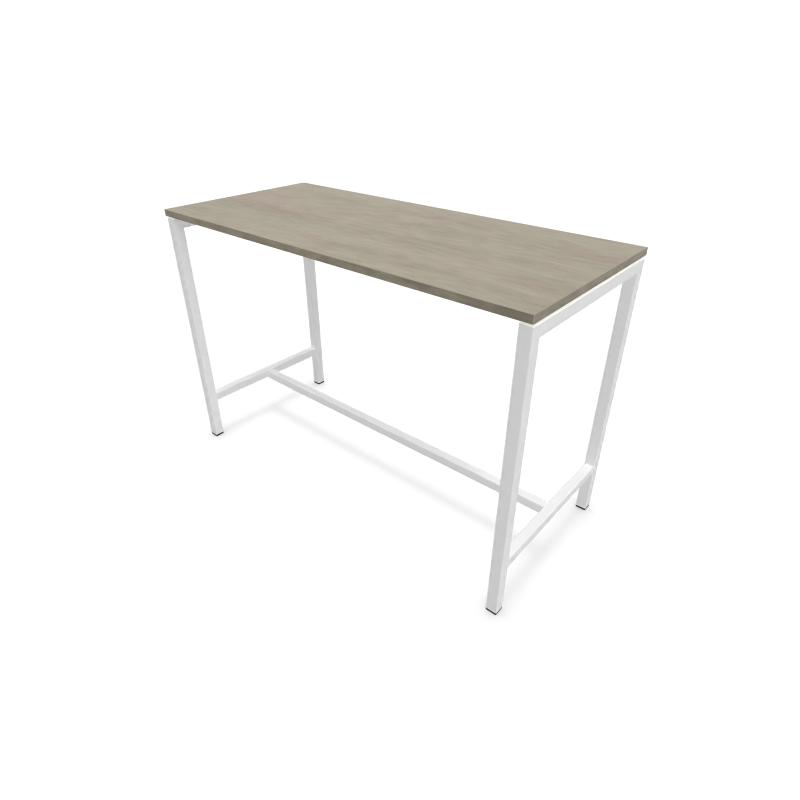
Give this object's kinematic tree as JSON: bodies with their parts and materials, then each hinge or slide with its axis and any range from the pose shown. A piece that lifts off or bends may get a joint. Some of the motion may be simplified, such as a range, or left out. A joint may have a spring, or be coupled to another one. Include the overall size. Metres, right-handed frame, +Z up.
{
  "type": "standing meeting table",
  "caption": "Tall rectangular meeting table with an oak-look laminate board on a white square-tube frame with a low H-shaped foot bar and adjustable feet.",
  "frame": {"origin": "on the floor under the middle of the table, at the bottom centre of its box", "axes": "+X along the length of the board, +Y across its depth towards the back, +Z up"},
  "size_m": [1.6, 0.706, 1.05],
  "materials": {
    "oak_laminate": "matt melamine laminate with a grey-beige oak grain along the length",
    "backing_laminate": "matt backing laminate in the same decor",
    "particleboard": "raw chipboard",
    "edge_band": "2 mm plastic edge band with an oak print",
    "white_powder_coat": "satin white powder coat on steel",
    "zinc_steel": "bright zinc plate",
    "black_plastic": "moulded matt black",
    "white_nylon": "natural nylon"
  },
  "bodies": {
    "table": {"bracket_rivet_nuts": "zinc_steel", "bracket_screws": "zinc_steel", "edge_band_back": "edge_band", "edge_band_front": "edge_band", "edge_band_left": "edge_band", "edge_band_right": "edge_band", "end_foot_bar_left": "white_powder_coat", "end_foot_bar_right": "white_powder_coat", "end_rail_left": "white_powder_coat", "end_rail_right": "white_powder_coat", "foot_bar_lock_screws": "zinc_steel", "foot_bar_spigot_left": "black_plastic", "foot_bar_spigot_right": "black_plastic", "leg_back_left": "white_powder_coat", "leg_back_right": "white_powder_coat", "leg_cap_back_left": "black_plastic", "leg_cap_back_right": "black_plastic", "leg_cap_front_left": "black_plastic", "leg_cap_front_right": "black_plastic", "leg_front_left": "white_powder_coat", "leg_front_right": "white_powder_coat", "leveller_nuts": "zinc_steel", "long_foot_bar": "white_powder_coat", "rail_bracket_back_left": "white_powder_coat", "rail_bracket_back_right": "white_powder_coat", "rail_bracket_front_left": "white_powder_coat", "rail_bracket_front_right": "white_powder_coat", "spigot_bolts": "zinc_steel", "spigot_rivet_nuts": "zinc_steel", "support_rail_back": "white_powder_coat", "support_rail_front": "white_powder_coat", "tabletop_core": "particleboard", "top_inserts": "zinc_steel", "top_laminate": "oak_laminate", "top_screws": "zinc_steel", "top_spacers": "white_nylon", "underside_laminate": "backing_laminate"},
    "foot_front_left": {"leveller_pad_front_left": "black_plastic"},
    "stem_front_left": {"leveller_stem_front_left": "zinc_steel"},
    "foot_front_right": {"leveller_pad_front_right": "black_plastic"},
    "stem_front_right": {"leveller_stem_front_right": "zinc_steel"},
    "foot_back_left": {"leveller_pad_back_left": "black_plastic"},
    "stem_back_left": {"leveller_stem_back_left": "zinc_steel"},
    "foot_back_right": {"leveller_pad_back_right": "black_plastic"},
    "stem_back_right": {"leveller_stem_back_right": "zinc_steel"}
  },
  "joints": [
    {"name": "foot_front_left_travel", "type": "slide", "parent": "table", "child": "foot_front_left", "axis": [0, 0, -1], "range_m": [0, 0.012]},
    {"name": "stem_front_left_turn", "type": "hinge", "parent": "foot_front_left", "child": "stem_front_left", "pos_m": [-0.7795, -0.328, 0], "axis": [0, 0, -1], "range_deg": [0, 3457]},
    {"name": "foot_front_right_travel", "type": "slide", "parent": "table", "child": "foot_front_right", "axis": [0, 0, -1], "range_m": [0, 0.012]},
    {"name": "stem_front_right_turn", "type": "hinge", "parent": "foot_front_right", "child": "stem_front_right", "pos_m": [0.7795, -0.328, 0], "axis": [0, 0, -1], "range_deg": [0, 3457]},
    {"name": "foot_back_left_travel", "type": "slide", "parent": "table", "child": "foot_back_left", "axis": [0, 0, -1], "range_m": [0, 0.012]},
    {"name": "stem_back_left_turn", "type": "hinge", "parent": "foot_back_left", "child": "stem_back_left", "pos_m": [-0.7795, 0.328, 0], "axis": [0, 0, -1], "range_deg": [0, 3457]},
    {"name": "foot_back_right_travel", "type": "slide", "parent": "table", "child": "foot_back_right", "axis": [0, 0, -1], "range_m": [0, 0.012]},
    {"name": "stem_back_right_turn", "type": "hinge", "parent": "foot_back_right", "child": "stem_back_right", "pos_m": [0.7795, 0.328, 0], "axis": [0, 0, -1], "range_deg": [0, 3457]}
  ],
  "couplings": [
    {"joint": "stem_front_left_turn", "follows": "foot_front_left_travel", "rad_per_m": 5026.5},
    {"joint": "stem_front_right_turn", "follows": "foot_front_right_travel", "rad_per_m": 5026.5},
    {"joint": "stem_back_left_turn", "follows": "foot_back_left_travel", "rad_per_m": 5026.5},
    {"joint": "stem_back_right_turn", "follows": "foot_back_right_travel", "rad_per_m": 5026.5}
  ]
}
